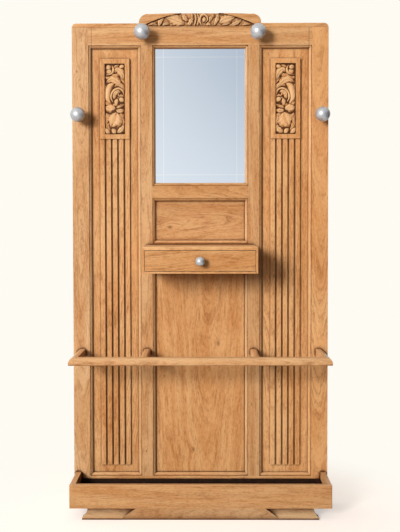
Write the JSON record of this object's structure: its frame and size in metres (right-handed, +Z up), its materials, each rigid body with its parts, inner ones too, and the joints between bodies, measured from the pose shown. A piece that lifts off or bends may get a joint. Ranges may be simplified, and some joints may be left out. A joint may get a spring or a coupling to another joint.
{
  "type": "hall stand",
  "caption": "Framed and panelled oak hall stand with mirror, reeded side panels, carved crest and vignettes, glove drawer, ball coat pegs, umbrella rail and trough.",
  "frame": {"origin": "on the floor, under the middle of the box round the whole stand", "axes": "+Z up, the front with the mirror, drawer and trough faces -Y, +X to the right as seen from the front"},
  "size_m": [1.01, 0.3124, 1.949],
  "materials": {
    "oak_upright": "waxed light oak with the grain upright",
    "oak_crosswise": "waxed light oak with the grain left to right",
    "oak_fore_and_aft": "waxed light oak with the grain front to back",
    "plywood": "plain unfinished plywood",
    "mirror_glass": "silvered glass with engraved lines",
    "satin_aluminium": "satin",
    "steel": "plain",
    "dark_tray": "dark brown paint, matt"
  },
  "bodies": {
    "stand": {"bottom_rail": "oak_crosswise", "case_floor": "oak_crosswise", "case_screws": "steel", "case_top": "oak_crosswise", "crest_board": "oak_crosswise", "crest_dowels": "oak_upright", "drawer_rail": "oak_crosswise", "drawer_stops": "oak_fore_and_aft", "drip_tray": "dark_tray", "foot_board": "oak_crosswise", "left_cap": "oak_crosswise", "left_carved_block": "oak_upright", "left_case_side": "oak_fore_and_aft", "left_foot_bearer": "oak_fore_and_aft", "left_inner_arm": "oak_fore_and_aft", "left_muntin": "oak_upright", "left_outer_arm": "oak_fore_and_aft", "left_reeded_panel": "oak_upright", "left_stile": "oak_upright", "left_trough_side": "oak_fore_and_aft", "lower_centre_panel": "oak_upright", "lower_left_ball": "satin_aluminium", "lower_right_ball": "satin_aluminium", "mirror_back_board": "plywood", "mirror_beads": "oak_upright", "mirror_glass": "mirror_glass", "mirror_rail": "oak_crosswise", "peg_stems": "satin_aluminium", "right_cap": "oak_crosswise", "right_carved_block": "oak_upright", "right_case_side": "oak_fore_and_aft", "right_foot_bearer": "oak_fore_and_aft", "right_inner_arm": "oak_fore_and_aft", "right_muntin": "oak_upright", "right_outer_arm": "oak_fore_and_aft", "right_reeded_panel": "oak_upright", "right_stile": "oak_upright", "right_trough_side": "oak_fore_and_aft", "top_rail": "oak_crosswise", "trough_floor": "oak_crosswise", "trough_front": "oak_crosswise", "umbrella_rail": "oak_crosswise", "upper_centre_panel": "oak_crosswise", "upper_left_ball": "satin_aluminium", "upper_right_ball": "satin_aluminium"},
    "drawer": {"drawer_front": "oak_crosswise", "left_drawer_side": "oak_fore_and_aft", "right_drawer_side": "oak_fore_and_aft", "drawer_back": "oak_crosswise", "drawer_floor": "plywood", "drawer_knob": "satin_aluminium", "knob_screw": "steel"}
  },
  "joints": [
    {"name": "drawer_slide", "type": "slide", "parent": "stand", "child": "drawer", "axis": [0, -1, 0], "range_m": [0, 0.165]}
  ]
}
